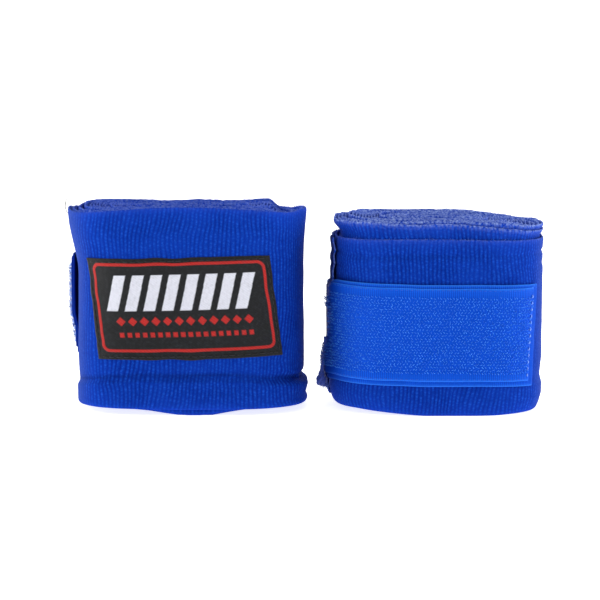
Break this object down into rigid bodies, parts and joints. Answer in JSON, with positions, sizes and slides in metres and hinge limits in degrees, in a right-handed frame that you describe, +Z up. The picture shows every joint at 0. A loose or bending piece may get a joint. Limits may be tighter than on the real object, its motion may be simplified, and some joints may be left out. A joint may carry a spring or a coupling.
{
  "type": "hand wrap",
  "caption": "Elastic boxing hand wraps, rolled up and standing on edge, with a hook and loop closing tab on one face and a woven label on the other.",
  "frame": {"origin": "centre of the pair's outer box, at the level they stand on", "axes": "+Z up along the rolls' axes, +X from the roll that shows its label to the roll that shows its closure, -Y towards the viewer"},
  "size_m": [0.1246, 0.0484, 0.0524],
  "materials": {
    "elastic": "ribbed elastic knit, matte",
    "loop_tape": "brushed loop tape",
    "hook_tape": "nylon hooks on a woven tape",
    "label": "woven satin label",
    "webbing": "flat woven webbing",
    "blue_thread": "polyester sewing thread",
    "black_thread": "polyester sewing thread"
  },
  "bodies": {
    "left_wrap": {"left_bandage": "elastic", "left_end_hem": "elastic", "left_loop_tape_base": "loop_tape", "left_base_stitching": "blue_thread", "left_label": "label", "left_label_stitching": "black_thread"},
    "left_closure_tab": {"left_loop_tape": "loop_tape", "left_hook_tape": "hook_tape", "left_hook_stitching": "blue_thread"},
    "left_thumb_pull": {"left_thumb_loop": "webbing", "left_thumb_loop_bartack": "blue_thread"},
    "right_wrap": {"right_bandage": "elastic", "right_end_hem": "elastic", "right_loop_tape_base": "loop_tape", "right_base_stitching": "blue_thread", "right_label": "label", "right_label_stitching": "black_thread"},
    "right_closure_tab": {"right_loop_tape": "loop_tape", "right_hook_tape": "hook_tape", "right_hook_stitching": "blue_thread"},
    "right_thumb_pull": {"right_thumb_loop": "webbing", "right_thumb_loop_bartack": "blue_thread"}
  },
  "joints": [
    {"name": "pair_apart", "type": "slide", "parent": "left_wrap", "child": "right_wrap", "axis": [1, 0, 0], "range_m": [0, 0.1]},
    {"name": "left_tab_peel", "type": "hinge", "parent": "left_wrap", "child": "left_closure_tab", "pos_m": [-0.00547, 0.0175, 0.022], "axis": [0, 0, -1], "range_deg": [0, 90]},
    {"name": "right_tab_peel", "type": "hinge", "parent": "right_wrap", "child": "right_closure_tab", "pos_m": [0.00525, -0.00279, 0.022], "axis": [0, 0, -1], "range_deg": [0, 50]},
    {"name": "left_loop_pull", "type": "slide", "parent": "left_wrap", "child": "left_thumb_pull", "axis": [0, 0, 1], "range_m": [0, 0.02]},
    {"name": "right_loop_pull", "type": "slide", "parent": "right_wrap", "child": "right_thumb_pull", "axis": [0, 0, 1], "range_m": [0, 0.02]}
  ]
}
